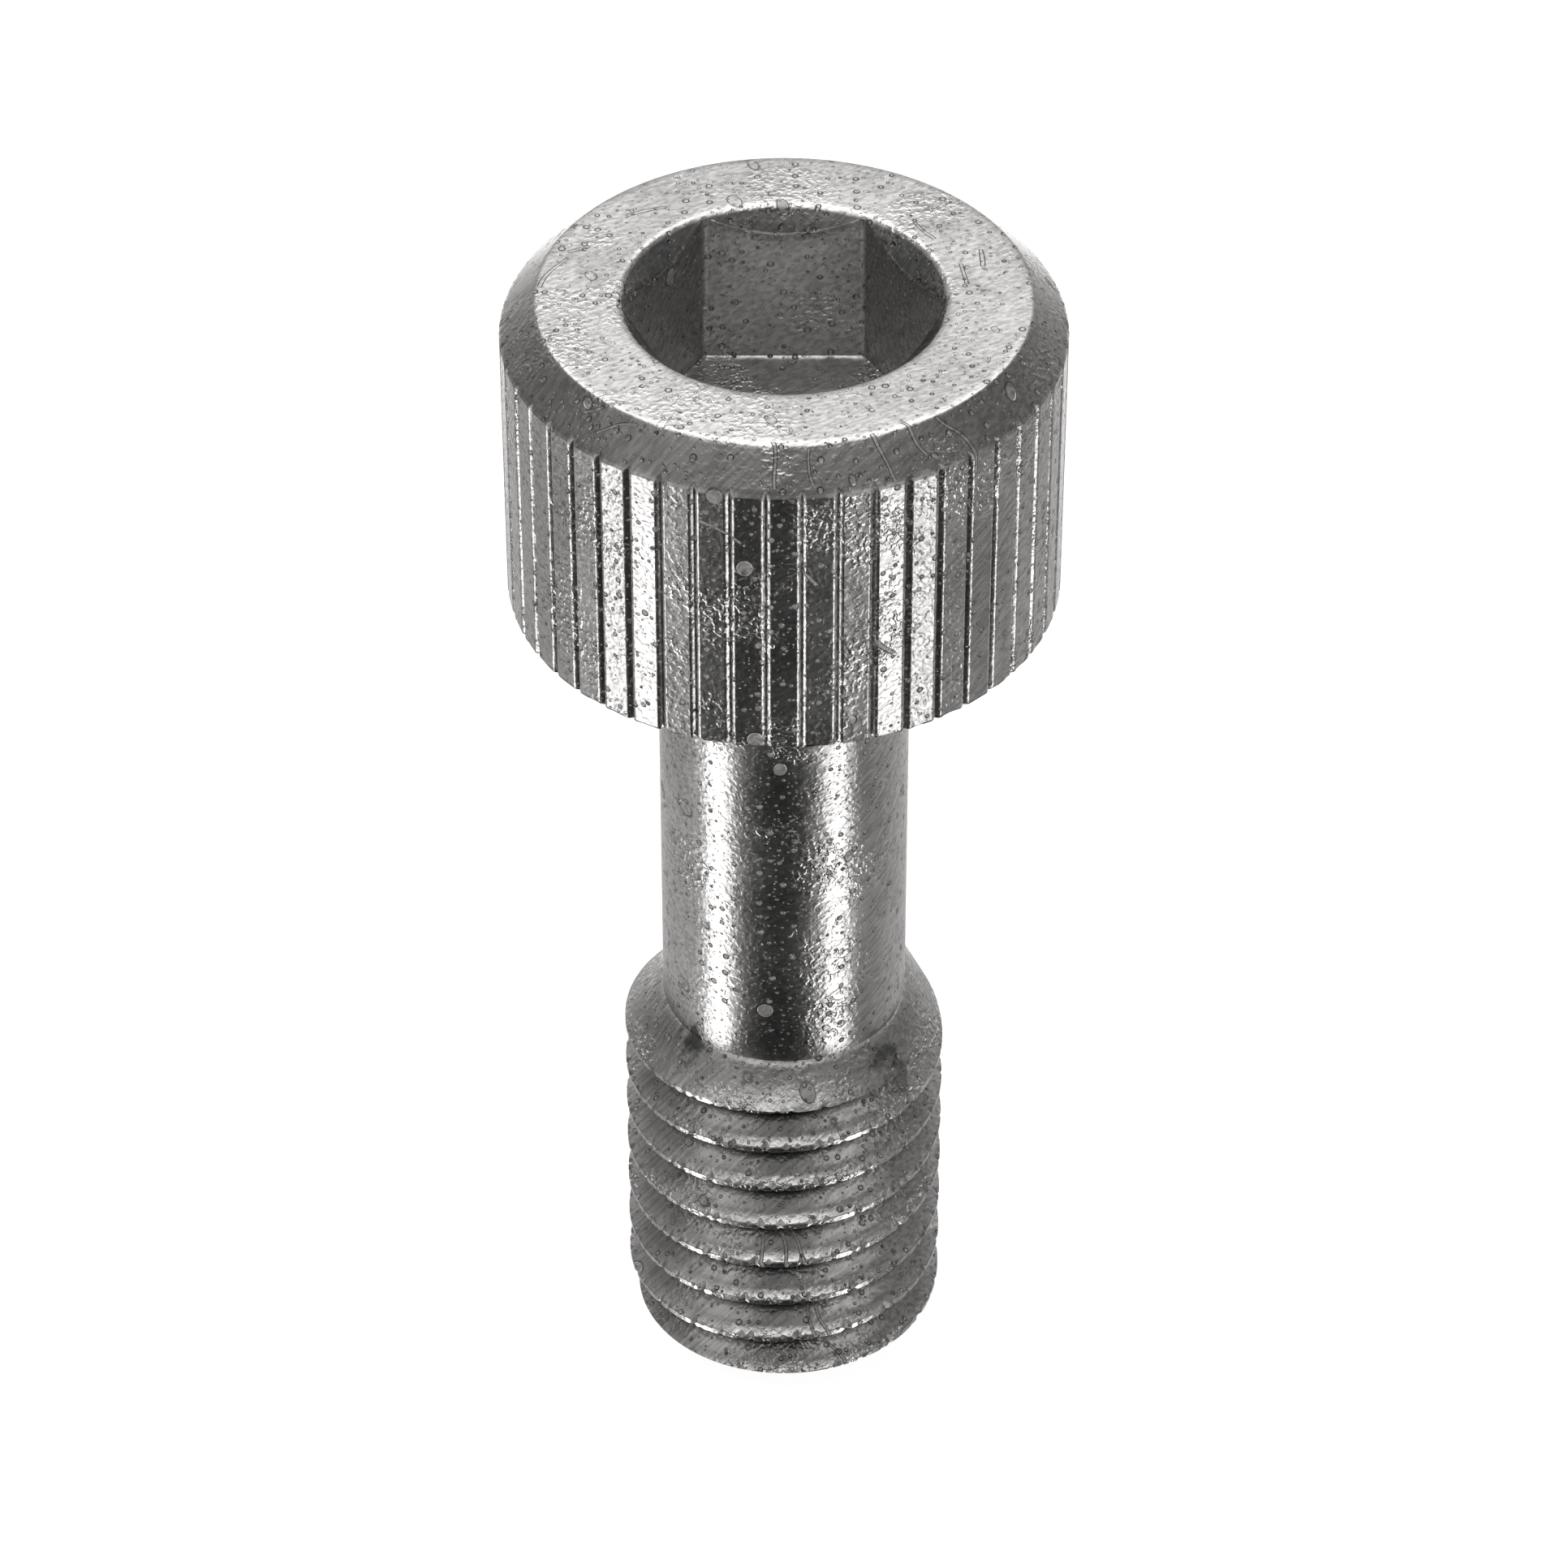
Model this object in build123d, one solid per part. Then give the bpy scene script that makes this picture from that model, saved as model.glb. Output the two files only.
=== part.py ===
from build123d import *
import os
from math import cos, degrees, radians, sin, tan

# Captive socket-head screw, one turned piece with a cut thread.
# Millimetres, +Z up through the head. The origin is on the axis, in the plane of the head's underside.

# Head
head_diameter = 7.925
head_height = 4.826
head_chamfer = 0.51
facet_count = 50
groove_width = 0.106
groove_depth = 0.053
underhead_fillet = 0.15

# Hex socket
socket_across_flats = 3.969
socket_depth = 2.42

# Shank and thread
length_under_head = 14.288
shank_diameter = 3.65
thread_diameter = 4.826
thread_pitch = 0.79375
thread_angle = 60
tip_chamfer = 0.57

# Shoulder between shank and thread. Depths are below the head's underside, slopes are from level,
# and angles run anticlockwise from +X seen from above.
thread_start_angle = -35
first_crest_depth = 8.108
shoulder_slope = 40
shoulder_top_depth = 7.76
runout_slope = 65
runout_top_depth = 7.135
runout_offset = 0.238
runout_direction = 75
runout_angle = -38
runout_sweep = 265
runout_height = 2

# Worked out from the above
head_radius = head_diameter / 2
socket_corner_radius = socket_across_flats / 2 / cos(radians(30))
shank_radius = shank_diameter / 2
thread_radius = thread_diameter / 2
flank_slope = tan(radians(thread_angle / 2))
crest_half_width = thread_pitch / 16
root_radius = thread_radius - 0.6134 * thread_pitch

# How far a tool solid runs past the faces that it cuts or joins
extra = 0.06


def ring_point(radius, angle):
    return (radius * cos(radians(angle)), radius * sin(radians(angle)))


def head_outline():
    """Flat facets round the head, with a V-groove at each corner between two of them."""
    step = 360 / facet_count
    half_groove = degrees(groove_width / head_radius) / 2
    points = []
    for index in range(facet_count):
        corner = -90 + step * (index + 0.5)
        points.append(ring_point(head_radius, corner - half_groove))
        points.append(ring_point(head_radius - groove_depth, corner))
        points.append(ring_point(head_radius, corner + half_groove))
    return Polyline(*points, close=True)


def head_blank():
    """The knurled head, its top edge turned to a 45 degree chamfer."""
    prism = extrude(make_face(head_outline()), head_height)
    profile = Polyline(
        (0, 0),
        (head_radius, 0),
        (head_radius, head_height - head_chamfer),
        (head_radius - head_chamfer, head_height),
        (0, head_height),
        close=True,
    )
    turned = revolve(Plane.XZ * make_face(profile), Axis.Z)
    return prism & turned


def hex_socket():
    """The hexagonal hole, corners on the X axis, with a 45 degree countersink as wide as its corners."""
    hexagon = RegularPolygon(socket_corner_radius, 6)
    hole = extrude(Plane.XY.offset(head_height - socket_depth) * hexagon, socket_depth + extra)
    mouth = Cone(extra, socket_corner_radius + extra, socket_corner_radius)
    mouth_low = head_height + extra - socket_corner_radius / 2
    return hole + Pos(0, 0, mouth_low) * mouth


def shank():
    """The plain shank, from just inside the head down into the thread's core."""
    profile = Polyline(
        (0, extra),
        (shank_radius, extra),
        (shank_radius, -shoulder_top_depth - extra),
        (0, -shoulder_top_depth - extra),
        close=True,
    )
    return revolve(Plane.XZ * make_face(profile), Axis.Z)


def shoulder_cut():
    """A conical shoulder that trims the start of the thread, wide and long enough to miss the rest."""
    wide = thread_radius + 2 * extra
    low = -length_under_head - thread_pitch
    profile = Polyline(
        (0, -shoulder_top_depth),
        (shank_radius, -shoulder_top_depth),
        (wide, -shoulder_top_depth - (wide - shank_radius) * tan(radians(shoulder_slope))),
        (wide, low),
        (0, low),
        close=True,
    )
    return revolve(Plane.XZ * make_face(profile), Axis.Z)


def thread_blank():
    """The cylinder of the thread's outer diameter, from above the run-out to its chamfered tip."""
    profile = Polyline(
        (0, -runout_top_depth + extra),
        (thread_radius, -runout_top_depth + extra),
        (thread_radius, -length_under_head + tip_chamfer),
        (thread_radius - tip_chamfer, -length_under_head),
        (0, -length_under_head),
        close=True,
    )
    return revolve(Plane.XZ * make_face(profile), Axis.Z)


def swept(section, first_angle, first_depth, angle):
    """A section in the radial plane, carried up a right-handed helix of the thread's pitch."""
    rise = thread_pitch * angle / 360
    path = Helix(thread_pitch, rise, thread_radius)
    solid = sweep(Plane.XZ * make_face(section), path=path, is_frenet=True)
    return Pos(0, 0, -first_depth) * Rot(0, 0, first_angle) * solid


def ridge():
    """The thread's ridge, its two flanks standing past the crest, from below the tip to its start."""
    inner = root_radius - extra
    outer = thread_radius + extra
    base_half_width = crest_half_width + (thread_radius - inner) * flank_slope
    top_half_width = crest_half_width - extra * flank_slope
    section = Polyline(
        (inner, -base_half_width),
        (outer, -top_half_width),
        (outer, top_half_width),
        (inner, base_half_width),
        close=True,
    )
    turns = (length_under_head - first_crest_depth) / thread_pitch + 0.5
    low_depth = first_crest_depth + turns * thread_pitch
    return swept(section, thread_start_angle - 360 * turns, low_depth, 360 * turns)


def thread_core():
    """The cylinder at the bottom of the grooves."""
    height = length_under_head - shoulder_top_depth + 2 * extra
    return Pos(0, 0, -length_under_head - extra) * extrude(Circle(root_radius), height)


def runout():
    """The steep off-centre cone that fills the last groove where the thread runs out into the shank."""
    top_radius = shank_radius - runout_offset
    low_radius = top_radius + runout_height / tan(radians(runout_slope))
    across, along = ring_point(runout_offset, runout_direction)
    middle = -runout_top_depth - runout_height / 2
    cone = Pos(across, along, middle) * Cone(low_radius, top_radius, runout_height)
    narrow = 4 * extra
    wide = thread_radius + 4 * extra
    section = Polyline(
        (narrow, 0),
        (wide, 0),
        (wide, runout_height),
        (narrow, runout_height),
        close=True,
    )
    second_crest_depth = first_crest_depth + thread_pitch
    return cone & swept(section, runout_angle, second_crest_depth, runout_sweep)


def thread():
    """Core, ridge and run-out, turned to the outer diameter."""
    threaded = (thread_core() + ridge()) & shoulder_cut()
    return (threaded + runout()) & thread_blank()


def head_and_shank():
    """The head with its socket, and the shank, joined by a small fillet under the head."""
    solid = head_blank() - hex_socket() + shank()
    joint = solid.edges().filter_by(GeomType.CIRCLE).filter_by(lambda edge: abs(edge.center().Z) < 1e-6)
    return fillet(joint, underhead_fillet)


def captive_screw():
    return head_and_shank() + thread()


os.makedirs("parts", exist_ok=True)
export_step(captive_screw(), "parts/captive_screw.step")
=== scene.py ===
from math import cos, degrees, pi, radians, sin, sqrt, tan

import bpy
import numpy as np
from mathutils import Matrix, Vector


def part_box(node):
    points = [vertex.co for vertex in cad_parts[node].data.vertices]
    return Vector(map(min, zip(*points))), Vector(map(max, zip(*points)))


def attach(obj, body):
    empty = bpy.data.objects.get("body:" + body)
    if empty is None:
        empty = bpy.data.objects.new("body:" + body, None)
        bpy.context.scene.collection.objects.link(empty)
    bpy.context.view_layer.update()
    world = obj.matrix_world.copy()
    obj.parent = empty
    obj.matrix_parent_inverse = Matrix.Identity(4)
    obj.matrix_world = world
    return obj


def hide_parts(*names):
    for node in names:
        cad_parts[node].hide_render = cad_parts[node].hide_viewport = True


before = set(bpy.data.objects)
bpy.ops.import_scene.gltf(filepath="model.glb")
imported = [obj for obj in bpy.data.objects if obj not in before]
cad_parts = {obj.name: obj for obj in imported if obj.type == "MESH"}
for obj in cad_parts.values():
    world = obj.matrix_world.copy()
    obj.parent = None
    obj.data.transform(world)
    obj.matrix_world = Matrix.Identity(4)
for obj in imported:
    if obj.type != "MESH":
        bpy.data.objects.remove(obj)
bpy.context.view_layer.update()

# Captive socket-head screw: one detailed mesh in place of the plain CAD solid, with a worn steel surface.
# The mesh is worked out in millimetres, in the CAD frame, and scaled to metres when it is made.

MM = 0.001
low_corner, high_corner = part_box("captive_screw")
TOP = high_corner.z / MM
TIP = low_corner.z / MM

# Head
HEAD_RADIUS = 3.9624
HEAD_CHAMFER = 0.51
FACETS = 50
GROOVE_HALF_WIDTH = 0.053
GROOVE_DEPTH = 0.053
UNDERHEAD_FILLET = 0.15
EDGE_WEAR = 0.007

# Socket
SOCKET_APOTHEM = 3.969 / 2
SOCKET_CORNER = SOCKET_APOTHEM / cos(radians(30))
SOCKET_DEPTH = 2.42
SOCKET_CORNER_ROUND = 0.07
SOCKET_FLOOR_ROUND = 0.035
MOUTH_ROUND = 0.14
MOUTH_RADIUS = SOCKET_CORNER + MOUTH_ROUND * tan(radians(22.5))

# Shank and thread
SHANK_RADIUS = 1.825
THREAD_RADIUS = 2.413
PITCH = 0.79375
ROOT_RADIUS = THREAD_RADIUS - 0.6134 * PITCH
CREST_HALF = PITCH / 16
CREST_FLAT_HALF = 0.042
CREST_WEAR_SLOPE = 0.8
CREST_CHIPS = 0.045
TIP_CHAMFER = 0.57

# Shoulder and run-out between the shank and the thread
START_ANGLE = -35
FIRST_CREST = -8.108
SHOULDER_TOP = -7.76
SHOULDER_SLOPE = 40
RUNOUT_TOP = -7.135
RUNOUT_SLOPE = 65
RUNOUT_OFFSET = 0.238
RUNOUT_DIRECTION = 75
RUNOUT_ANGLE = -38
RUNOUT_SWEEP = 265
FADE_END = 20
LEFT_RISE = (100, 165)
LEFT_FALL = (219, 227)

# Shading of the thread's worn flanks: upright at the root, and this many degrees over from this share of the
# depth on
FLANK_LEAN = 60
LEAN_FULL_AT = 0.94

# The same for the shoulder: degrees over at the shank, how many more at the crest, and how many more again
# along its upper edge
SHOULDER_LEAN = 43
SHOULDER_LEAN_OUT = 16
SHOULDER_LEAN_EDGE = 22

# Edges of the mesh are sharp where it bends by more than this many degrees
SHARP_FROM = 38

# Rough dark spots on the shoulder, left and right of the front: angle, distance out from the shank, reach
# and darkness
SHOULDER_SPOTS = (
    (-135, 0.05, 0.20, 0.75),
    (-45, 0.30, 0.22, 0.60),
)

# Columns of the mesh, in degrees from a groove's bottom: 9 to a facet, close together at its worn edges
FACET_STEP = 360 / FACETS
EDGE_COLUMN = 0.80
GROOVE_COLUMNS = (0.0, 0.50, EDGE_COLUMN, 1.12, 2.75, 4.45, 6.08, 6.40, 6.70)
COLUMNS = len(GROOVE_COLUMNS) * FACETS

# Down the thread: how finely each column is sampled, the longest and shortest edge, and a count of turns that
# is more than enough
SAMPLE_STEP = 0.004
LONGEST_EDGE = 0.13
SHORTEST_EDGE = 0.006
TURNS = 10


# ---------------------------------------------------------------- mesh: rings round the axis

def knurl_angles():
    """Column angles that follow the grooves of the head."""
    return np.array([FACET_STEP * facet + step for facet in range(FACETS) for step in GROOVE_COLUMNS])


def even_angles():
    return np.arange(COLUMNS) * 360 / COLUMNS


def knurl_radius(angles):
    """Radius of the head's side: flat facets, a V-groove between each two, and rounded groove edges."""
    half_groove = degrees(GROOVE_HALF_WIDTH / HEAD_RADIUS)
    within = (angles + 1e-9) % FACET_STEP
    from_groove = np.minimum(within, FACET_STEP - within)
    apothem = HEAD_RADIUS * cos(radians(FACET_STEP / 2 - half_groove))
    flat = apothem / np.cos(np.radians(FACET_STEP / 2 - from_groove))
    groove = HEAD_RADIUS - GROOVE_DEPTH * (1 - from_groove / half_groove)
    radius = np.where(from_groove < half_groove, groove, flat)
    return radius - np.where(np.abs(from_groove - EDGE_COLUMN) < 0.01, EDGE_WEAR, 0.0)


def hexagon_radius(angles):
    """Radius of the hex socket's wall, with slightly rounded corners."""
    off_wall = np.abs((angles + 1e-9) % 60 - 30)
    straight = SOCKET_APOTHEM / np.cos(np.radians(off_wall))
    off_corner = np.radians(30 - off_wall)
    centre = SOCKET_CORNER - SOCKET_CORNER_ROUND / sin(radians(60))
    across = centre * np.sin(off_corner)
    reach = np.sqrt(np.maximum(SOCKET_CORNER_ROUND**2 - across**2, 0))
    rounded = centre * np.cos(off_corner) + reach
    corner_zone = across < SOCKET_CORNER_ROUND * sin(radians(30))
    return np.where(corner_zone, rounded, straight)


def chips(angles, seed, depth):
    """Small uneven losses of metal along an edge, in millimetres."""
    turned = np.radians(angles)
    wave = sum(np.sin(count * turned + seed * count) for count in (19, 37, 61, 89)) / 2
    return depth * np.clip(wave - 0.15, 0, 1)


def ring(angles, radius, height):
    """One closed ring of points. radius and height are numbers or one value per column."""
    turned = np.radians(angles)
    radius = np.broadcast_to(radius, turned.shape)
    height = np.broadcast_to(height, turned.shape)
    return np.column_stack([radius * np.cos(turned), radius * np.sin(turned), height])


def socket_rings(angles):
    """From the middle of the socket's floor up the hex wall and the countersink to the top face."""
    wall = hexagon_radius(angles)
    floor = TOP - SOCKET_DEPTH
    edge = TOP - (SOCKET_CORNER - wall)
    round_off = SOCKET_FLOOR_ROUND
    rings = [ring(angles, wall * share, floor) for share in (0.02, 0.3, 0.6, 0.85, 0.95)]
    rings.append(ring(angles, wall - round_off, floor))
    rings.append(ring(angles, wall - round_off * 0.3, floor + round_off * 0.3))
    rings.append(ring(angles, wall, floor + round_off))
    low, high = floor + round_off, edge - 0.04
    rings += [ring(angles, wall, low + (high - low) * share) for share in (0.06, 0.28, 0.5, 0.72, 0.92, 1.0)]
    rings.append(ring(angles, wall + 0.008 + chips(angles, 1.3, 0.02), edge - 0.010))
    start = MOUTH_RADIUS - MOUTH_ROUND * sin(radians(45))
    slope = np.maximum(start - wall, 0.004)
    for share in (0.08, 0.5, 0.9):
        rings.append(ring(angles, wall + slope * share, edge + slope * share))
    for turn in (45, 33, 22, 11, 0):
        radius = MOUTH_RADIUS - MOUTH_ROUND * sin(radians(turn))
        rings.append(ring(angles, radius, TOP - MOUTH_ROUND * (1 - cos(radians(turn)))))
    return rings


def top_rings(hex_angles, head_angles):
    """The flat top face. Its columns shift from the hex corners to the grooves."""
    inner, outer = MOUTH_RADIUS, HEAD_RADIUS - HEAD_CHAMFER - 0.03
    rings = []
    for share in (0.08, 0.25, 0.42, 0.58, 0.75, 0.92):
        angles = hex_angles + (head_angles - hex_angles) * share
        rings.append(ring(angles, inner + (outer - inner) * share, TOP))
    rings.append(ring(head_angles, outer, TOP))
    return rings


def side_rings(angles):
    """The top chamfer, the knurled side and its lower edge."""
    side = knurl_radius(angles)
    inner = HEAD_RADIUS - HEAD_CHAMFER

    def cone(radius):
        return TOP - (radius - inner)

    rings = [ring(angles, inner - 0.002, TOP - 0.006), ring(angles, inner + 0.022, cone(inner + 0.022))]
    for share in (0.12, 0.5, 0.85):
        radius = inner + HEAD_CHAMFER * share
        rings.append(ring(angles, radius, cone(radius)))
    rings.append(ring(angles, side - 0.026, cone(side - 0.026)))
    edge = cone(side)
    rings.append(ring(angles, side - 0.006 - chips(angles, 2.1, 0.02), edge - 0.008))
    rings.append(ring(angles, side, edge - 0.034))
    high, low = edge - 0.034, 0.04
    rings += [ring(angles, side, high + (low - high) * share)
              for share in (0.015, 0.1, 0.2, 0.3, 0.4, 0.5, 0.6, 0.7, 0.8, 0.9, 0.985, 1.0)]
    rings.append(ring(angles, side - 0.008 - chips(angles, 4.7, 0.03), 0.009))
    rings.append(ring(angles, side - 0.036, 0.0))
    return rings


def underside_rings(head_angles, plain_angles):
    """The flat underside, the fillet and the plain shank. Its columns shift to even spacing."""
    outer, inner = HEAD_RADIUS - 0.16, SHANK_RADIUS + UNDERHEAD_FILLET
    rings = []
    for share in (0.0, 0.3, 0.65, 1.0):
        angles = head_angles + (plain_angles - head_angles) * share
        rings.append(ring(angles, outer + (inner - outer) * share, 0.0))
    for turn in (18, 36, 54, 72, 90):
        radius = inner - UNDERHEAD_FILLET * sin(radians(turn))
        height = -UNDERHEAD_FILLET * (1 - cos(radians(turn)))
        rings.append(ring(plain_angles, radius, height))
    low = RUNOUT_TOP + 0.12
    for share in np.linspace(0.04, 1.0, 13):
        rings.append(ring(plain_angles, SHANK_RADIUS, -UNDERHEAD_FILLET + (low + UNDERHEAD_FILLET) * share))
    return rings


# ---------------------------------------------------------------- mesh: the thread, column by column

def ridge_profile(offset, chip):
    """Radius of the thread's ridge, and of its flanks alone, at a distance along the axis from its crest. The
    ridge has worn, chipped corners."""
    flank = THREAD_RADIUS - (np.abs(offset) - CREST_HALF) / tan(radians(30))
    worn = THREAD_RADIUS - chip - (np.abs(offset) - CREST_FLAT_HALF) * CREST_WEAR_SLOPE
    return np.minimum(flank, worn), flank


def runout_radius(angle, heights):
    """Radius of the off-centre cone that fills the last groove."""
    cone = SHANK_RADIUS - RUNOUT_OFFSET + (RUNOUT_TOP - heights) / tan(radians(RUNOUT_SLOPE))
    away = radians(angle - RUNOUT_DIRECTION)
    inside = np.maximum(cone**2 - (RUNOUT_OFFSET * sin(away))**2, 0)
    return RUNOUT_OFFSET * cos(away) + np.sqrt(inside)


def ease(value, low, high):
    """0 below low, 1 above high, smooth between."""
    share = min(max((value - low) / (high - low), 0), 1)
    return share * share * (3 - 2 * share)


def thread_layers(angle, heights):
    """Radius at each height of one column, angle from -180 to 180, and a number for the surface there. Only a
    change of the number matters: it marks a corner."""
    shoulder = SHANK_RADIUS + (SHOULDER_TOP - heights) / tan(radians(SHOULDER_SLOPE))
    shoulder = np.where(heights > SHOULDER_TOP, 0, shoulder)
    radius = np.full(heights.shape, ROOT_RADIUS)
    number = np.full(heights.shape, 1)
    first_turn = 0 if angle <= START_ANGLE else 1
    for turn in range(first_turn, TURNS):
        crest = FIRST_CREST + PITCH * ((angle - START_ANGLE) / 360 - turn)
        ridge, flank = ridge_profile(heights - crest, chips(angle, turn * 0.37, CREST_CHIPS))
        part = np.where(flank > ridge + 1e-9, 1, 0) + np.where(heights > crest, 2, 0)
        number = np.where(ridge > radius, 10 + 4 * turn + part, number)
        radius = np.maximum(radius, ridge)
    number = np.where(shoulder < radius, 2, number)
    radius = np.minimum(radius, shoulder)
    number = np.where(radius < SHANK_RADIUS, 0, number)
    radius = np.maximum(radius, np.where(heights > SHOULDER_TOP - 0.06, SHANK_RADIUS, 0))
    turned = angle if angle >= RUNOUT_ANGLE else angle + 360
    if turned <= RUNOUT_ANGLE + RUNOUT_SWEEP:
        radius, number = filled(angle, turned, heights, radius, number)
    number = np.where(radius > THREAD_RADIUS, 4, number)
    radius = np.minimum(radius, THREAD_RADIUS)
    chamfer = THREAD_RADIUS - TIP_CHAMFER + (heights - TIP)
    number = np.where(radius > chamfer, 5, number)
    return np.minimum(radius, chamfer), number


def filled(angle, turned, heights, radius, number):
    """The run-out: the last groove grows shallower on the right, and ends in one smooth cone on the left."""
    floor = FIRST_CREST - PITCH + PITCH * (turned - RUNOUT_ANGLE) / 360
    cone = np.where(heights >= floor, runout_radius(angle, heights), 0)
    depth = np.maximum(cone - radius, 0) * ease(turned, RUNOUT_ANGLE, FADE_END)
    number = np.where(depth > 0, 3, number)
    radius = radius + depth
    crest = FIRST_CREST + PITCH * ((turned - START_ANGLE) / 360 - 1) + CREST_HALF
    share = (SHOULDER_TOP - heights) / (SHOULDER_TOP - crest)
    straight = SHANK_RADIUS + (THREAD_RADIUS - SHANK_RADIUS) * share
    straight = np.where((share > 0) & (share < 1), straight, 0)
    amount = ease(turned, *LEFT_RISE) * (1 - ease(turned, *LEFT_FALL))
    depth = np.maximum(straight - radius, 0) * amount
    number = np.where(depth > 0, 6, number)
    return radius + depth, number


def thread_column(angle, high, low):
    """Heights and radii down one column, with a point wherever one surface meets another."""
    heights = np.linspace(high, low, int((high - low) / SAMPLE_STEP) + 1)
    radius, number = thread_layers(angle, heights)
    points = [(heights[0], radius[0])]
    for i in np.flatnonzero(np.diff(number)):
        points += corner_between(heights, radius, i)
    points.append((heights[-1], radius[-1]))
    column = [points[0]]
    for here, there in zip(points, points[1:]):
        length = sqrt((there[0] - here[0])**2 + (there[1] - here[1])**2)
        if length < SHORTEST_EDGE and there is not points[-1]:
            continue
        parts = max(1, round(length / LONGEST_EDGE))
        height, out = column[-1]
        rise, reach = there[0] - height, there[1] - out
        column += [(height + rise * k / parts, out + reach * k / parts) for k in range(1, parts + 1)]
    return np.array(column)


def corner_between(heights, radius, i):
    """Where two surfaces meet between samples i and i + 1: lines run on from both sides to their crossing.
    The heights go down, so the step between two of them is below 0."""
    if i < 1 or i + 2 >= len(heights):
        return []
    step = heights[1] - heights[0]
    before = (radius[i] - radius[i - 1]) / step
    after = (radius[i + 2] - radius[i + 1]) / step
    jump = radius[i + 1] - radius[i]
    if abs(jump) > 0.02:
        return [(heights[i], radius[i]), (heights[i + 1], radius[i + 1])]
    if abs(before - after) < 1e-3:
        return []
    along = (jump - after * step) / (before - after)
    along = max(min(along, 0.0), step)
    return [(heights[i] + along, radius[i] + before * along)]


def zip_columns(first, second, first_start, second_start, faces):
    """Triangles between two columns of points that need not have the same number."""
    i = j = 0
    while i < len(first) - 1 or j < len(second) - 1:
        if i == len(first) - 1:
            go_first = False
        elif j == len(second) - 1:
            go_first = True
        else:
            one = np.abs(first[i + 1] - second[j]).sum()
            other = np.abs(first[i] - second[j + 1]).sum()
            go_first = one <= other
        if go_first:
            faces.append((first_start + i, first_start + i + 1, second_start + j))
            i += 1
        else:
            faces.append((first_start + i, second_start + j + 1, second_start + j))
            j += 1


class Skin:
    """Collects points and faces from the socket's floor, over the head and down to the tip."""

    def __init__(self):
        self.points = []
        self.faces = []
        self.count = 0

    def add_points(self, block):
        start = self.count
        self.points.append(np.asarray(block, float))
        self.count += len(block)
        return start

    def add_rings(self, rings, last=None):
        """Adds rings one after another, joined by quads. Returns the first index of the last ring."""
        for block in rings:
            start = self.add_points(block)
            if last is not None:
                self.join([last + i for i in range(COLUMNS)], start)
            last = start
        return last

    def join(self, upper, start):
        """Quads between a ring given by its indices and one that starts at an index."""
        for i in range(COLUMNS):
            k = (i + 1) % COLUMNS
            self.faces.append((upper[i], start + i, start + k, upper[k]))

    def cap(self, start, height, upward):
        """Closes a ring with a fan round its middle point."""
        middle = self.add_points([(0, 0, height)])
        for i in range(COLUMNS):
            a, b = start + i, start + (i + 1) % COLUMNS
            self.faces.append((middle, a, b) if upward else (middle, b, a))


def add_thread(skin, last, angles):
    """The thread region, joined to the shank's last ring. Returns the indices of its own last ring."""
    high, low = RUNOUT_TOP + 0.11, TIP + 0.035
    columns, starts = [], []
    for angle in angles:
        column = thread_column((angle + 180) % 360 - 180, high, low)
        turned = radians(angle)
        block = np.column_stack([column[:, 1] * cos(turned), column[:, 1] * sin(turned), column[:, 0]])
        columns.append(column)
        starts.append(skin.add_points(block))
    for i in range(COLUMNS):
        k = (i + 1) % COLUMNS
        zip_columns(columns[i], columns[k], starts[i], starts[k], skin.faces)
        skin.faces.append((last + i, starts[i], starts[k], last + k))
    return [start + len(column) - 1 for start, column in zip(starts, columns)]


def screw_skin():
    """Points and faces of the whole screw."""
    skin = Skin()
    plain, knurled = even_angles(), knurl_angles()
    last = skin.add_rings(socket_rings(plain))
    last = skin.add_rings(top_rings(plain, knurled), last)
    last = skin.add_rings(side_rings(knurled), last)
    last = skin.add_rings(underside_rings(knurled, plain), last)
    skin.cap(0, TOP - SOCKET_DEPTH, True)
    end_ring = add_thread(skin, last, plain)
    edge = THREAD_RADIUS - TIP_CHAMFER
    tip = [ring(plain, edge + 0.008, TIP + 0.012), ring(plain, edge - 0.03, TIP)]
    tip += [ring(plain, edge * share, TIP) for share in (0.85, 0.6, 0.3, 0.03)]
    start = skin.add_points(tip[0])
    skin.join(end_ring, start)
    last = skin.add_rings(tip[1:], start)
    skin.cap(last, TIP, False)
    return np.vstack(skin.points), skin.faces


def corner_values(mesh):
    """For each face corner: the smooth normal, the face's own normal, and the place in millimetres."""
    smooth = np.empty(len(mesh.loops) * 3, np.float32)
    mesh.corner_normals.foreach_get("vector", smooth)
    facing = np.empty(len(mesh.polygons) * 3, np.float32)
    mesh.polygons.foreach_get("normal", facing)
    sizes = np.empty(len(mesh.polygons), np.int32)
    mesh.polygons.foreach_get("loop_total", sizes)
    vertex = np.empty(len(mesh.loops), np.int32)
    mesh.loops.foreach_get("vertex_index", vertex)
    place = np.empty(len(mesh.vertices) * 3, np.float32)
    mesh.vertices.foreach_get("co", place)
    flat = np.repeat(facing.reshape(-1, 3), sizes, axis=0)
    return smooth.reshape(-1, 3), flat, place.reshape(-1, 3)[vertex] / MM


def first_crest(place):
    """Height of the topmost crest beside each place."""
    angle = np.degrees(np.arctan2(place[:, 1], place[:, 0]))
    turns_down = (START_ANGLE - angle) % 360 / 360
    return FIRST_CREST - PITCH * turns_down


def knurl_facets(flat, place, radius):
    """Which face corners lie on a facet of the knurl."""
    facing = np.degrees(np.arctan2(flat[:, 1], flat[:, 0]))
    off_middle = np.abs(facing % FACET_STEP - FACET_STEP / 2)
    upright = np.abs(flat[:, 2]) < 0.02
    return upright & (off_middle < 0.4) & (radius > SOCKET_CORNER + 1) & (place[:, 2] > 0)


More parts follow.
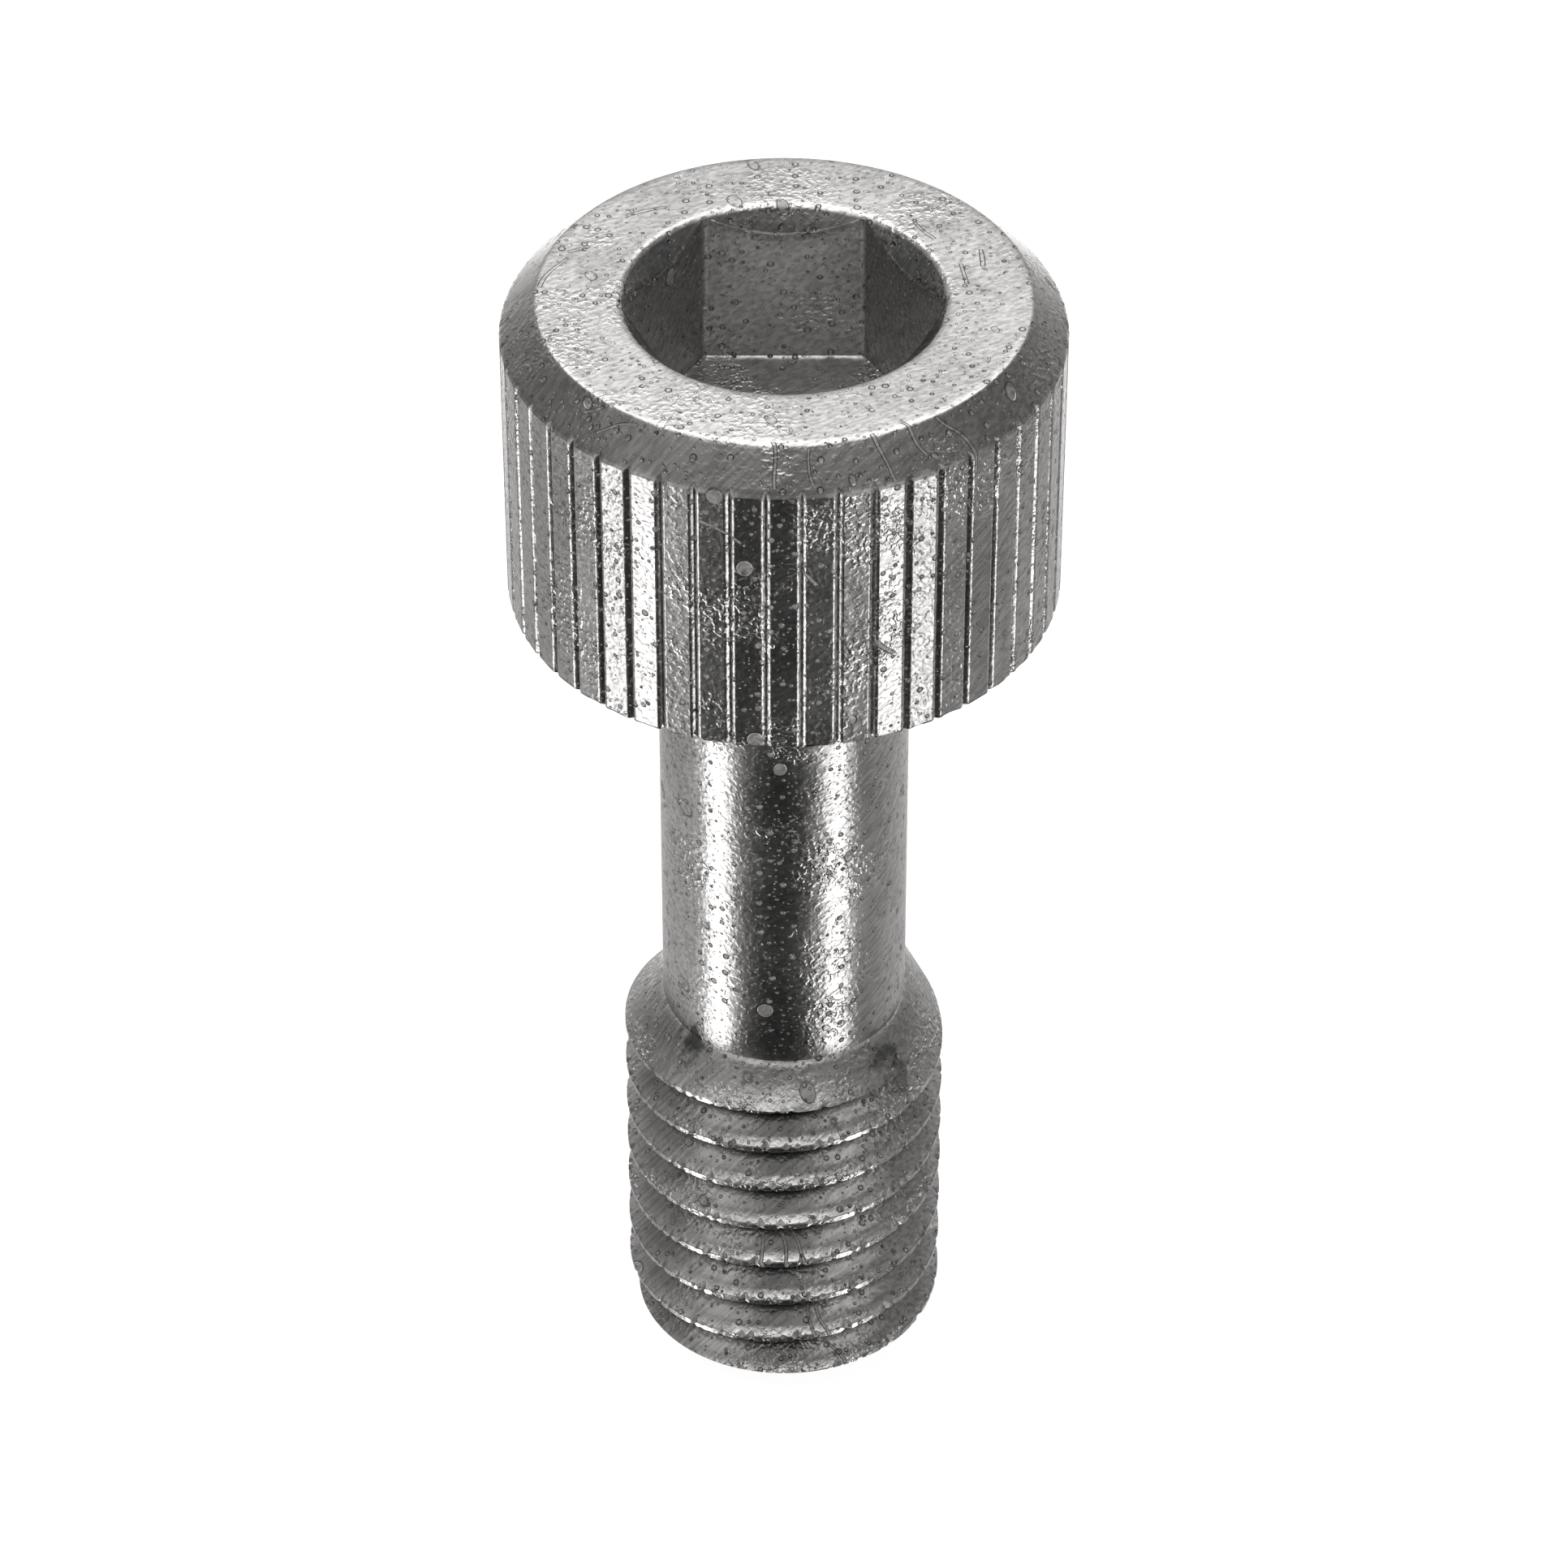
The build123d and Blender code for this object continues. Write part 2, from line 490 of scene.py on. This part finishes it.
def thread_lean(tilt, place, radius):
    """Which face corners lie on a flank or the shoulder, and how far up their normals lean, in radians."""
    below_shank, above_tip = place[:, 2] < RUNOUT_TOP, place[:, 2] > TIP + 0.06
    depth = np.clip((radius - ROOT_RADIUS) / (THREAD_RADIUS - ROOT_RADIUS) / LEAN_FULL_AT, 0, 1)
    lean = np.radians(FLANK_LEAN) * depth**2 * (3 - 2 * depth) * np.sign(tilt)
    between = (radius > SHANK_RADIUS + 0.01) & (radius < THREAD_RADIUS - 0.08)
    sloping = (tilt > 0.3) | (tilt > -0.2) & between
    shoulder = sloping & below_shank & (place[:, 2] > first_crest(place) - 0.02)
    from_shank = np.clip((radius - SHANK_RADIUS) / (THREAD_RADIUS - SHANK_RADIUS), 0, 1)
    upper_edge = np.clip(1 - from_shank / 0.08, 0, 1)
    over = SHOULDER_LEAN + SHOULDER_LEAN_OUT * from_shank + SHOULDER_LEAN_EDGE * upper_edge
    lean = np.where(shoulder, np.radians(over), lean)
    steep = (np.abs(tilt) > 0.78) & (np.abs(tilt) < 0.92)
    return (shoulder | steep) & below_shank & above_tip, lean


def shading_normals(mesh):
    """Normals that keep each knurl facet flat, and lean out at the thread's worn flanks and shoulder."""
    smooth, flat, place = corner_values(mesh)
    radius = np.hypot(place[:, 0], place[:, 1])
    leans, lean = thread_lean(flat[:, 2], place, radius)
    out = place[:, :2] / np.maximum(radius, 1e-6)[:, None]
    leaning = np.column_stack([out * np.cos(lean)[:, None], np.sin(lean)])
    normals = np.where(leans[:, None], leaning, smooth)
    return np.where(knurl_facets(flat, place, radius)[:, None], flat, normals)


def make_screw():
    points, faces = screw_skin()
    mesh = bpy.data.meshes.new("screw_body")
    mesh.from_pydata((points * MM).tolist(), [], faces)
    mesh.validate()
    mesh.shade_smooth()
    mesh.set_sharp_from_angle(angle=radians(SHARP_FROM))
    mesh.normals_split_custom_set(shading_normals(mesh).tolist())
    screw = bpy.data.objects.new("screw_body", mesh)
    bpy.context.scene.collection.objects.link(screw)
    return screw


screw = make_screw()
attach(screw, "root")
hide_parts("captive_screw")


# ---------------------------------------------------------------- floor, light, camera

class Nodes:
    """Short hand for building a node tree."""

    def __init__(self, tree):
        self.tree = tree
        tree.nodes.clear()

    def add(self, kind, **settings):
        node = self.tree.nodes.new(kind)
        for name, value in settings.items():
            setattr(node, name, value)
        return node

    def plug(self, value, socket):
        """Sets a socket to a number or colour, or links it to an output."""
        if isinstance(value, (int, float, tuple)):
            socket.default_value = value
        else:
            self.tree.links.new(value, socket)

    def math(self, operation, a, b=0.0, c=0.0):
        node = self.add("ShaderNodeMath", operation=operation)
        for value, socket in zip((a, b, c), node.inputs):
            self.plug(value, socket)
        return node.outputs[0]

    def both(self, *masks):
        """The product of some masks."""
        product = masks[0]
        for mask in masks[1:]:
            product = self.math("MULTIPLY", product, mask)
        return product

    def vector(self, operation, a, b=(0.0, 0.0, 0.0)):
        node = self.add("ShaderNodeVectorMath", operation=operation)
        self.plug(a, node.inputs[0])
        self.plug(b, node.inputs[1])
        return node.outputs["Value"] if operation in ("LENGTH", "DOT_PRODUCT") else node.outputs["Vector"]

    def scaled(self, at, factor):
        output = self.vector("SCALE", at)
        output.node.inputs["Scale"].default_value = factor
        return output

    def remap(self, value, low, high, to_low=0.0, to_high=1.0, smooth=True):
        node = self.add("ShaderNodeMapRange", interpolation_type="SMOOTHSTEP" if smooth else "LINEAR")
        for item, socket in zip((value, low, high, to_low, to_high), node.inputs):
            self.plug(item, socket)
        return node.outputs[0]

    def window(self, value, centre, half, soft):
        """1 where value is within half of centre, falling to 0 over soft on both sides."""
        away = self.math("ABSOLUTE", self.math("SUBTRACT", value, centre))
        return self.remap(away, half, half + soft, 1.0, 0.0)

    def noise(self, at, scale, detail, output="Fac"):
        node = self.add("ShaderNodeTexNoise")
        self.plug(at, node.inputs["Vector"])
        self.plug(scale, node.inputs["Scale"])
        self.plug(detail, node.inputs["Detail"])
        return node.outputs[output]

    def cells(self, at, scale):
        node = self.add("ShaderNodeTexVoronoi")
        self.plug(at, node.inputs["Vector"])
        self.plug(scale, node.inputs["Scale"])
        return node.outputs["Distance"], node.outputs["Color"]

    def channel(self, colour, which):
        node = self.add("ShaderNodeSeparateColor")
        self.plug(colour, node.inputs[0])
        return node.outputs[which]

    def parts(self, at):
        node = self.add("ShaderNodeSeparateXYZ")
        self.plug(at, node.inputs[0])
        return node.outputs

    def placed(self, at, move=(0, 0, 0), turn=(0, 0, 0), scale=(1, 1, 1)):
        """Texture space moved, turned, and stretched along its own turned axes."""
        node = self.add("ShaderNodeMapping", vector_type="TEXTURE")
        self.plug(at, node.inputs["Vector"])
        for name, value in (("Location", move), ("Rotation", turn), ("Scale", scale)):
            node.inputs[name].default_value = value
        return node.outputs[0]


def new_material(name):
    material = bpy.data.materials.new(name)
    material.use_nodes = True
    return material, Nodes(material.node_tree)


FLOOR_HALF = 0.6
FLOOR_GAP = 0.00002
FLOOR_GLOW = 0.95
FLOOR_GREY = 0.25


def make_floor():
    """A pale floor that gives off light, throws no shadow and isn't seen in reflections or from below."""
    corners = ((-1, -1), (1, -1), (1, 1), (-1, 1))
    height = low_corner.z - FLOOR_GAP
    mesh = bpy.data.meshes.new("floor")
    mesh.from_pydata([(x * FLOOR_HALF, y * FLOOR_HALF, height) for x, y in corners], [], [(0, 1, 2, 3)])
    floor = bpy.data.objects.new("floor", mesh)
    bpy.context.scene.collection.objects.link(floor)
    floor.visible_glossy = False
    floor.visible_shadow = False
    mesh.materials.append(floor_material())


def floor_material():
    material, n = new_material("pale_floor")
    glow = n.add("ShaderNodeEmission")
    n.plug((1, 1, 1, 1), glow.inputs["Color"])
    n.plug(FLOOR_GLOW, glow.inputs["Strength"])
    matt = n.add("ShaderNodeBsdfDiffuse")
    n.plug((FLOOR_GREY, FLOOR_GREY, FLOOR_GREY, 1), matt.inputs["Color"])
    above = n.add("ShaderNodeAddShader")
    n.plug(glow.outputs[0], above.inputs[0])
    n.plug(matt.outputs[0], above.inputs[1])
    mix = n.add("ShaderNodeMixShader")
    n.plug(n.add("ShaderNodeNewGeometry").outputs["Backfacing"], mix.inputs[0])
    n.plug(above.outputs[0], mix.inputs[1])
    n.plug(n.add("ShaderNodeBsdfTransparent").outputs[0], mix.inputs[2])
    n.plug(mix.outputs[0], n.add("ShaderNodeOutputMaterial").inputs["Surface"])
    return material


make_floor()


# The studio's light by direction. Each row lifts or lowers the brightness round one direction:
# azimuth, half width, soft edge; elevation, half height, soft edge (all in degrees); brightness
STUDIO_BASE = 0.20
STUDIO = (
    (-136, 8, 24, 2, 30, 8, 0.38),
    (-46, 9, 24, 2, 30, 8, 0.42),
    (-160, 25, 20, 52, 12, 12, 0.16),
    (90, 15, 55, 5, 35, 15, 0.42),
    (0, 180, 1, 90, 26, 9, 0.50),
    (0, 180, 1, 90, 15, 7, 1.90),
    (90, 20, 10, -27, 6, 6, 1.6),
    (90, 38, 14, 52, 7, 8, 2.25),
    (-85, 50, 35, -75, 50, 8, -0.22),
    (105, 60, 70, -75, 36, 8, 0.33),
    (90, 6, 18, -75, 36, 8, 0.25),
    (-155, 8, 5, -75, 38, 6, 4.2),
    (-39, 8, 5, -75, 38, 6, 3.9),
)


def studio_world():
    """A soft studio with a dark front, a bright back wall, and a tall soft light low on each side of the
    front. The camera itself sees white."""
    world = bpy.data.worlds.new("studio")
    bpy.context.scene.world = world
    world.use_nodes = True
    n = Nodes(world.node_tree)
    x, y, z = n.parts(n.add("ShaderNodeTexCoord").outputs["Generated"])
    azimuth = n.math("MULTIPLY", n.math("ARCTAN2", y, x), 180 / pi)
    elevation = n.math("MULTIPLY", n.math("ARCSINE", z), 180 / pi)
    light = STUDIO_BASE
    for turn, wide, soft_w, rise, tall, soft_t, power in STUDIO:
        across = n.math("ABSOLUTE", n.math("WRAP", n.math("SUBTRACT", azimuth, float(turn)), 180.0, -180.0))
        spot = n.remap(across, float(wide), float(wide + soft_w), 1.0, 0.0)
        spot = n.math("MULTIPLY", spot, n.window(elevation, float(rise), float(tall), float(soft_t)))
        light = n.math("MULTIPLY_ADD", spot, float(power), light)
    light = n.math("MAXIMUM", light, 0.0)
    studio = n.add("ShaderNodeBackground")
    n.plug(light, studio.inputs["Strength"])
    n.plug((1.0, 0.99, 0.985, 1), studio.inputs["Color"])
    backdrop = n.add("ShaderNodeBackground")
    n.plug((1, 1, 1, 1), backdrop.inputs["Color"])
    mix = n.add("ShaderNodeMixShader")
    n.plug(n.add("ShaderNodeLightPath").outputs["Is Camera Ray"], mix.inputs[0])
    n.plug(studio.outputs[0], mix.inputs[1])
    n.plug(backdrop.outputs[0], mix.inputs[2])
    n.plug(mix.outputs[0], n.add("ShaderNodeOutputWorld").inputs["Surface"])


studio_world()


def dent(n, away, edge):
    """A flat-floored dent: its floor and its ring, from how far away its middle is, in half widths."""
    floor = n.remap(away, edge, 1.0, 1.0, 0.0)
    ring = n.math("MULTIPLY", n.remap(away, edge, edge + 0.15), n.remap(away, 0.95, 1.2, 1.0, 0.0))
    return floor, ring


def pits(n, at, scale, radius, share, edge=0.6):
    """Round pits, radius in millimetres, in a share of the cells of a Voronoi texture."""
    distance, colour = n.cells(at, scale)
    chance = n.channel(colour, 0)
    least = n.math("SUBTRACT", 1.0, share)
    size = n.remap(chance, least, 1.0, radius * scale * 0.4, radius * scale, smooth=False)
    size = n.math("MULTIPLY", size, n.math("GREATER_THAN", chance, least))
    away = n.math("DIVIDE", distance, n.math("MAXIMUM", size, 0.0001))
    return dent(n, away, edge)


def around(angle, radius, height):
    """A point at an angle round the axis."""
    return radius * cos(radians(angle)), radius * sin(radians(angle)), height


def on_surface(angle, along):
    """A place on the screw and the way out of the metal there. along goes 0 to 1 out over the top face, to 2
    down the chamfer, to 3 down the head's side, to 4 down the shank and to 5 down the thread."""
    bevel = HEAD_RADIUS - HEAD_CHAMFER
    flank = THREAD_RADIUS - 0.2
    radii = (MOUTH_RADIUS, bevel, HEAD_RADIUS, HEAD_RADIUS, SHANK_RADIUS, SHANK_RADIUS, flank, flank)
    radius = np.interp(along, (0, 1, 2, 3, 3.01, 4, 4.01, 5), radii)
    height = np.interp(along, (0, 1, 2, 3, 4, 5), (TOP, TOP, TOP - HEAD_CHAMFER, 0, SHOULDER_TOP, TIP))
    upward = np.interp(along, (0.9, 1.1, 1.9, 2.1), (9, 1, 1, 0))
    return Vector(around(angle, radius, height)), Vector(around(angle, 1, upward)).normalized()


# Long scratches, in groups. Each group: how many, the angles and places they start between (see on_surface),
# and about how far each runs
SCRATCH_GROUPS = (
    (5, (-95, -50), (0.75, 1.1), (4, 0.95)),
    (2, (-150, -125), (1.3, 1.9), (9, -0.5)),
    (3, (5, 50), (0.2, 0.6), (-17, -0.1)),
    (3, (125, 175), (0.3, 0.8), (12, 0.2)),
    (3, (-110, -55), (2.1, 2.7), (7, 0.06)),
    (5, (-105, -70), (4.45, 4.75), (8, 0.13)),
    (6, (0, 230), (2.1, 4.6), (7, 0.2)),
)
SCRATCH_SEED = 11
SCRATCH_HALF_WIDTH = 0.028
SCRATCH_DEPTH = 1.3


def scratch_ends():
    """Both ends of each long scratch, as angle and place."""
    random = np.random.default_rng(SCRATCH_SEED)
    ends = []
    for count, angles, places, (turn, run) in SCRATCH_GROUPS:
        for k in range(count):
            angle = angles[0] + (angles[1] - angles[0]) * (k + random.uniform(0.1, 0.9)) / count
            place = random.uniform(*places)
            length = random.uniform(0.7, 1.3)
            swing = turn * length * random.uniform(0.3, 1.4)
            ends.append((angle, place, angle + swing, place + run * length))
    return ends


def scratches(n, at):
    """How far away the nearest long scratch is, in half widths. Each is a slot square to the surface."""
    nearest = 100.0
    for angle_a, place_a, angle_b, place_b in scratch_ends():
        start, out_a = on_surface(angle_a, place_a)
        end, out_b = on_surface(angle_b, place_b)
        run = end - start
        middle = (start + end) / 2
        across = run.cross(out_a + out_b).normalized()
        offset = n.vector("SUBTRACT", at, tuple(middle))
        side = n.math("ABSOLUTE", n.vector("DOT_PRODUCT", offset, tuple(across)))
        end_to_end = n.math("ABSOLUTE", n.vector("DOT_PRODUCT", offset, tuple(run / run.length_squared)))
        beyond = n.math("MULTIPLY", n.math("SUBTRACT", end_to_end, 0.5), run.length * 1.5)
        deep = n.math("SUBTRACT", n.vector("LENGTH", offset), run.length / 2 + 0.1)
        away = n.math("MAXIMUM", side, n.math("MAXIMUM", beyond, deep))
        nearest = n.math("MINIMUM", n.math("DIVIDE", away, SCRATCH_HALF_WIDTH), nearest)
    return nearest


# Directions of the short scratches and of the brushing, as turns in radians
SCRATCH_TURN = (0.0, 0.64, -1.19)
BRUSHING_TURN = (0.0, -0.50, 0.55)


# The steel's look: its least roughness and how much the cloudy patches add, the same for its brightness, and
# how much painted shade darkens the rims of dents and scratches
ROUGH, ROUGH_CLOUD, ROUGH_DENT = 0.276, 0.03, 0.6
BRIGHT, BRIGHT_CLOUD, RING_PAINTED_SHADE = 0.52, 0.10, 0.55
RELIEF_UNIT = 0.01
BRUSHING_HEIGHT = 0.20


class Relief:
    """The worn surface: its height in hundredths of a millimetre, and masks for its colour (with painted
    shade on the rims of dents and scratches) and gloss.
    """

    def __init__(self, n, at):
        cloud = n.noise(at, 0.8, 3.0, "Color")
        self.cloud = n.remap(n.channel(cloud, 0), 0.3, 0.7)
        patches = n.remap(n.channel(cloud, 1), 0.50, 0.64)
        crowd = n.remap(n.channel(cloud, 2), 0.35, 0.65, 0.5, 0.95)
        specks = n.remap(n.channel(cloud, 0), 0.40, 0.60, 0.45, 0.12)

        sway = n.scaled(n.vector("SUBTRACT", n.noise(at, 1.3, 0.0, "Color"), (0.5, 0.5, 0.5)), 0.35)
        wavy = n.vector("ADD", at, sway)
        oval_at = n.placed(at, move=(5, 2, 6), turn=(0.3, 0.2, 0.5), scale=(1, 1.6, 1.3))
        short_at = n.placed(wavy, turn=SCRATCH_TURN, scale=(24, 1, 1))
        # Depth (below 0 for raised specks), how much the dents show in gloss and as painted shade on their
        # rims, and the dents
        layers = (
            (1.6, 1.0, pits(n, at, 5.8, 0.056, crowd)),
            (1.0, 0.8, pits(n, n.placed(at, move=(3, 9, 4)), 10.0, 0.030, crowd)),
            (1.0, 1.0, pits(n, oval_at, 1.6, 0.12, 0.65, 0.86)),
            (0.8, 0.6, pits(n, short_at, 6.6, 0.022, 0.4, 0.5)),
            (SCRATCH_DEPTH, 1.0, dent(n, scratches(n, wavy), 0.55)),
            (-1.1, 0.0, pits(n, n.placed(at, move=(7, 1, 2)), 15.0, 0.020, specks)),
        )
        self.floors, self.rings = 0.0, 0.0
        height = self.hammered(n, at, patches)
        for depth, strength, (floor, ring) in layers:
            height = n.math("MULTIPLY_ADD", floor, -depth, height)
            self.floors = n.math("MAXIMUM", self.floors, n.math("MULTIPLY", floor, strength))
            # the rims, coloured darker later as painted shade
            self.rings = n.math("MAXIMUM", self.rings, n.math("MULTIPLY", ring, strength))
        self.brushing = n.noise(n.placed(at, turn=BRUSHING_TURN, scale=(22, 1, 1)), 17.0, 1.0)
        self.height = n.math("MULTIPLY_ADD", self.brushing, BRUSHING_HEIGHT, height)

    @staticmethod
    def hammered(n, at, patches):
        """Small bumps, strongest in patches and weaker on the top face."""
        top_face = n.math("GREATER_THAN", n.parts(at)[2], TOP - 0.01)
        least = n.math("MULTIPLY_ADD", top_face, -0.16, 0.20)
        most = n.math("MULTIPLY_ADD", top_face, -0.35, 0.85)
        amount = n.remap(patches, 0.0, 1.0, least, most)
        return n.math("MULTIPLY", n.remap(n.noise(at, 12.0, 1.0), 0.42, 0.68), amount)


def painted_shade_light_and_spots(n, at):
    """How much darker the metal is coloured: painted shade on the bevels (the chamfer and the socket's
    countersink), along the head's lower rim and in the thread's roots, the shoulder's rough dark spots, and
    less than none, as painted light, inside the socket and as a painted highlight along the countersink's
    lower edge."""
    x, y, z = n.parts(at)
    radius = n.math("SQRT", n.math("MULTIPLY_ADD", x, x, n.math("MULTIPLY", y, y)))
    cone_height, cone_start = n.math("SUBTRACT", z, radius), TOP - SOCKET_CORNER
    bevel_start = HEAD_RADIUS - HEAD_CHAMFER
    in_head = n.math("GREATER_THAN", z, 0.0)
    countersink = n.both(n.remap(cone_height, cone_start - 0.03, cone_start - 0.015),
                         n.remap(radius, SOCKET_CORNER - 0.06, SOCKET_CORNER - 0.03, 1.0, 0.0), in_head)
    bevel = n.both(n.remap(radius, bevel_start - 0.02, bevel_start + 0.02),
                   n.math("GREATER_THAN", z, TOP - HEAD_CHAMFER + 0.02))
    rim = n.both(n.remap(radius, HEAD_RADIUS - 0.1, HEAD_RADIUS - 0.07), n.remap(z, 0.02, 0.06, 1.0, 0.0),
                 n.math("GREATER_THAN", z, -0.01))
    root = n.both(n.remap(radius, ROOT_RADIUS + 0.03, ROOT_RADIUS + 0.11, 1.0, 0.0),
                  n.math("LESS_THAN", z, SHOULDER_TOP - 0.45))
    dark = 0.0
    # Painted shade: the countersink, the chamfer, the head's lower rim and the thread's roots are coloured
    # darker
    for mask, share in ((countersink, 0.60), (bevel, 0.22), (rim, 0.75), (root, 0.82)):
        dark = n.math("MAXIMUM", dark, n.math("MULTIPLY", mask, share))
    uneven = n.noise(at, 5.0, 3.0)
    for angle, out, reach, share in SHOULDER_SPOTS:
        place = around(angle, SHANK_RADIUS + out, SHOULDER_TOP - out * tan(radians(SHOULDER_SLOPE)))
        away = n.math("ADD", n.vector("LENGTH", n.vector("SUBTRACT", at, place)), uneven)
        dark = n.math("MAXIMUM", dark, n.remap(away, reach + 0.35, reach + 0.65, share, 0.0))
    # Painted light: the socket's inside is coloured a little lighter; painted highlight: a thin light line
    # along the countersink's lower edge
    inside = n.both(n.remap(radius, SOCKET_CORNER - 0.01, SOCKET_CORNER, 1.0, 0.0), in_head,
                    n.math("LESS_THAN", z, TOP - 0.01))
    edge = n.both(n.window(cone_height, cone_start - 0.020, 0.007, 0.008), in_head,
                  n.math("LESS_THAN", radius, SOCKET_CORNER - 0.05))
    dark = n.math("MULTIPLY_ADD", inside, -0.08, dark)
    return n.math("MULTIPLY_ADD", edge, -0.8, dark)


def steel_material():
    material, n = new_material("worn_steel")
    steel = n.add("ShaderNodeBsdfPrincipled")
    n.plug(steel.outputs[0], n.add("ShaderNodeOutputMaterial").inputs["Surface"])
    n.plug(1.0, steel.inputs["Metallic"])
    at = n.scaled(n.add("ShaderNodeTexCoord").outputs["Object"], 1 / MM)

    relief = Relief(n, at)
    bump = n.add("ShaderNodeBump")
    n.plug(1.0, bump.inputs["Strength"])
    n.plug(RELIEF_UNIT * MM, bump.inputs["Distance"])
    n.plug(relief.height, bump.inputs["Height"])
    n.plug(bump.outputs[0], steel.inputs["Normal"])

    rough = n.math("MULTIPLY_ADD", relief.cloud, ROUGH_CLOUD, ROUGH)
    n.plug(n.math("MAXIMUM", rough, n.math("MULTIPLY", relief.floors, ROUGH_DENT)), steel.inputs["Roughness"])
    bright = n.both(n.math("MULTIPLY_ADD", relief.cloud, BRIGHT_CLOUD, BRIGHT),
                    n.remap(relief.brushing, 0.3, 0.7, 0.79, 1.16),
                    # painted shade on the rims of dents and scratches
                    n.math("MULTIPLY_ADD", relief.rings, -RING_PAINTED_SHADE, 1.0),
                    # painted shade, painted light and painted highlight, and the shoulder's dark spots
                    n.math("SUBTRACT", 1.0, painted_shade_light_and_spots(n, at)))
    tint = n.add("ShaderNodeCombineColor")
    for channel, share in enumerate((1.0, 0.985, 0.975)):
        n.plug(n.math("MULTIPLY", bright, share), tint.inputs[channel])
    n.plug(tint.outputs[0], steel.inputs["Base Color"])
    return material


screw.data.materials.append(steel_material())


# Camera: straight in front, looking down at a point on the axis. Distances in millimetres
CAMERA_ELEVATION = 39.52
CAMERA_DISTANCE = 90.42
CAMERA_LENS, CAMERA_SENSOR = 140.9, 36
LOOK_AT_DEPTH = 8.735


def make_camera():
    data = bpy.data.cameras.new("camera")
    data.sensor_width = CAMERA_SENSOR
    data.lens = CAMERA_LENS
    data.clip_start, data.clip_end = 0.005, 10
    camera = bpy.data.objects.new("camera", data)
    bpy.context.scene.collection.objects.link(camera)
    elevation = radians(CAMERA_ELEVATION)
    back = Vector((0, -cos(elevation), sin(elevation)))
    camera.location = (Vector((0, 0, TOP - LOOK_AT_DEPTH)) + back * CAMERA_DISTANCE) * MM
    camera.rotation_euler = (-back).to_track_quat("-Z", "Y").to_euler()
    bpy.context.scene.camera = camera


make_camera()
bpy.context.scene.view_settings.view_transform = "Standard"
